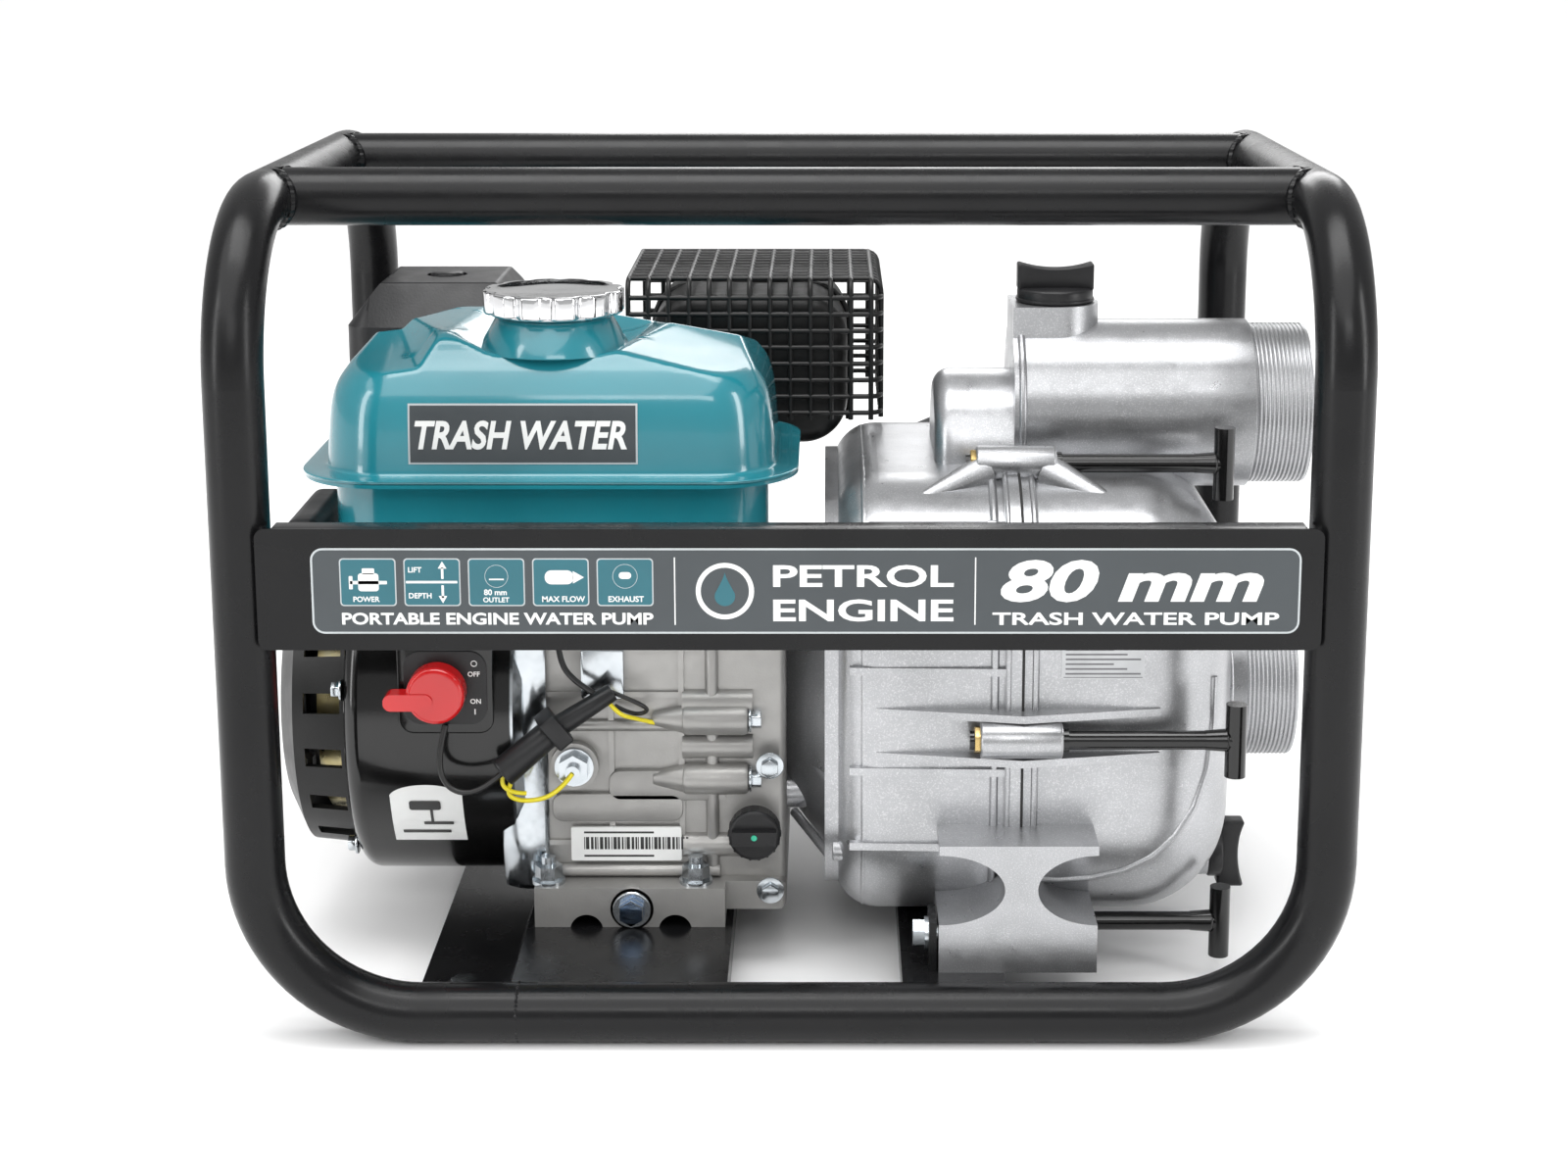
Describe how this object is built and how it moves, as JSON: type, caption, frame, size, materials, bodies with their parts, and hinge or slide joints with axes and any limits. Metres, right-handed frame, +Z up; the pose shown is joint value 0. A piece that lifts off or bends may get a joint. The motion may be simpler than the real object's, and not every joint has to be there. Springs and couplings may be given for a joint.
{
  "type": "petrol engine trash water pump",
  "caption": "Petrol engine trash water pump in a tubular carrying frame, with side suction and discharge hose threads and a hand opened cast pump casing.",
  "frame": {"origin": "on the floor, under the middle of the frame", "axes": "+X along the crankshaft from the recoil starter to the pump's ports, -Y the front with the name plate, +Z up"},
  "size_m": [0.57, 0.43, 0.436],
  "materials": {
    "frame": "satin black powder coat",
    "engine_casting": "die cast, warm grey",
    "pump_casting": "die cast, silver lacquer",
    "gloss_black_steel": "gloss black enamel",
    "satin_black_steel": "satin heat proof black",
    "zinc_steel": "bright zinc plate",
    "yellow_zinc": "yellow passivated zinc",
    "machined_steel": "machined",
    "cast_iron": "as cast",
    "tank_paint": "gloss blue-green enamel",
    "chrome": "bright chrome",
    "black_plastic": "moulded, fine grain",
    "red_plastic": "glossy red",
    "black_wire": "soft sheath",
    "yellow_wire": "insulated lead",
    "seal_rubber": "moulded rubber",
    "rope": "braided cord"
  },
  "bodies": {
    "frame": {"air_filter_base": "black_plastic", "air_filter_cover": "black_plastic", "carburettor": "engine_casting", "crankcase": "engine_casting", "crankcase_cover": "engine_casting", "cylinder_head": "engine_casting", "discharge_port": "pump_casting", "engine_base_plate": "frame", "fan_housing": "gloss_black_steel", "frame_left_loop": "frame", "frame_right_loop": "frame", "frame_top_tubes": "frame", "fuel_tank_lower": "tank_paint", "fuel_tank_upper": "tank_paint", "inner_shroud": "zinc_steel", "mechanical_seal": "seal_rubber", "mounting_bolts": "zinc_steel", "muffler": "satin_black_steel", "muffler_guard": "satin_black_steel", "name_plate": "frame", "oil_drain_bolt": "zinc_steel", "oil_sensor": "zinc_steel", "piston": "engine_casting", "pump_base_plate": "frame", "pump_front_cover": "pump_casting", "pump_rear_casing": "pump_casting", "recoil_housing": "satin_black_steel", "rocker_cover": "gloss_black_steel", "sensor_wire": "yellow_wire", "spark_plug": "zinc_steel", "starter_rope": "rope", "suction_port": "pump_casting", "switch_body": "black_plastic", "switch_wire": "black_wire", "volute": "cast_iron", "wire_connector": "black_plastic"},
    "rotor": {"crankshaft": "machined_steel", "flywheel": "cast_iron", "starter_cup": "yellow_zinc", "impeller": "cast_iron"},
    "knob": {"switch_knob": "red_plastic"},
    "tank_cap": {"fuel_cap": "chrome"},
    "wing_nut": {"air_filter_nut": "black_plastic"},
    "priming_cap": {"priming_plug": "black_plastic"},
    "drain_cap": {"pump_drain_plug": "black_plastic"},
    "dipstick": {"oil_dipstick": "black_plastic"},
    "grip": {"starter_grip": "black_plastic"},
    "pulley": {"recoil_pulley": "black_plastic"},
    "throttle": {"throttle_lever": "zinc_steel"},
    "choke": {"choke_lever": "zinc_steel"},
    "fuel_valve": {"fuel_valve_lever": "zinc_steel"},
    "flap": {"flap_valve": "seal_rubber"},
    "t_bolt_1": {"t_bolt_1": "gloss_black_steel"},
    "t_bolt_2": {"t_bolt_2": "gloss_black_steel"},
    "t_bolt_3": {"t_bolt_3": "gloss_black_steel"},
    "t_bolt_4": {"t_bolt_4": "gloss_black_steel"},
    "t_bolt_5": {"t_bolt_5": "gloss_black_steel"},
    "t_bolt_6": {"t_bolt_6": "gloss_black_steel"}
  },
  "joints": [
    {"name": "crank_spin", "type": "hinge", "parent": "frame", "child": "rotor", "pos_m": [0, -0.013, 0.132], "axis": [1, 0, 0], "continuous": true},
    {"name": "switch_turn", "type": "hinge", "parent": "frame", "child": "knob", "pos_m": [-0.188, -0.12, 0.161], "axis": [0, 1, 0], "range_deg": [0, 60]},
    {"name": "fuel_cap_turn", "type": "hinge", "parent": "frame", "child": "tank_cap", "pos_m": [-0.127, -0.072, 0.35], "axis": [0, 0, 1], "range_deg": [0, 90]},
    {"name": "filter_nut_turn", "type": "hinge", "parent": "frame", "child": "wing_nut", "pos_m": [-0.211, 0.114, 0.35], "axis": [0, 0, 1], "continuous": true},
    {"name": "priming_plug_turn", "type": "hinge", "parent": "frame", "child": "priming_cap", "pos_m": [0.1445, -0.013, 0.355], "axis": [0, 0, 1], "continuous": true},
    {"name": "drain_plug_turn", "type": "hinge", "parent": "frame", "child": "drain_cap", "pos_m": [0.235, -0.05, 0.045], "axis": [1, 0, 0], "continuous": true},
    {"name": "dipstick_turn", "type": "hinge", "parent": "frame", "child": "dipstick", "pos_m": [-0.021, -0.105, 0.0765], "axis": [0, -1, 0], "continuous": true},
    {"name": "throttle_swing", "type": "hinge", "parent": "frame", "child": "throttle", "pos_m": [-0.172, 0.116, 0.234], "axis": [0, 0, 1], "range_deg": [0, 35]},
    {"name": "choke_swing", "type": "hinge", "parent": "frame", "child": "choke", "pos_m": [-0.182, 0.139, 0.222], "axis": [0, 1, 0], "range_deg": [0, 25]},
    {"name": "fuel_valve_swing", "type": "hinge", "parent": "frame", "child": "fuel_valve", "pos_m": [-0.166, 0.139, 0.199], "axis": [0, -1, 0], "range_deg": [0, 80]},
    {"name": "flap_swing", "type": "hinge", "parent": "frame", "child": "flap", "pos_m": [0.226, -0.013, 0.185], "axis": [0, 1, 0], "range_deg": [0, 50]},
    {"name": "recoil_pull", "type": "slide", "parent": "frame", "child": "grip", "axis": [-0.8, 0, 0.6], "range_m": [0, 0.6], "stiffness_N_per_m": 15},
    {"name": "recoil_spin", "type": "hinge", "parent": "frame", "child": "pulley", "pos_m": [-0.269, -0.013, 0.132], "axis": [-1, 0, 0], "range_deg": [0, 1050]},
    {"name": "t_bolt_1_turn", "type": "hinge", "parent": "frame", "child": "t_bolt_1", "pos_m": [0.18, -0.085, 0.2765], "axis": [1, 0, 0], "continuous": true},
    {"name": "t_bolt_2_turn", "type": "hinge", "parent": "frame", "child": "t_bolt_2", "pos_m": [0.18, -0.153, 0.1445], "axis": [1, 0, 0], "continuous": true},
    {"name": "t_bolt_3_turn", "type": "hinge", "parent": "frame", "child": "t_bolt_3", "pos_m": [0.18, -0.118, 0.031], "axis": [1, 0, 0], "continuous": true},
    {"name": "t_bolt_4_turn", "type": "hinge", "parent": "frame", "child": "t_bolt_4", "pos_m": [0.18, 0.059, 0.2765], "axis": [1, 0, 0], "continuous": true},
    {"name": "t_bolt_5_turn", "type": "hinge", "parent": "frame", "child": "t_bolt_5", "pos_m": [0.18, 0.127, 0.1445], "axis": [1, 0, 0], "continuous": true},
    {"name": "t_bolt_6_turn", "type": "hinge", "parent": "frame", "child": "t_bolt_6", "pos_m": [0.18, 0.092, 0.031], "axis": [1, 0, 0], "continuous": true}
  ],
  "couplings": [
    {"joint": "recoil_spin", "follows": "recoil_pull", "rad_per_m": 30.303}
  ]
}
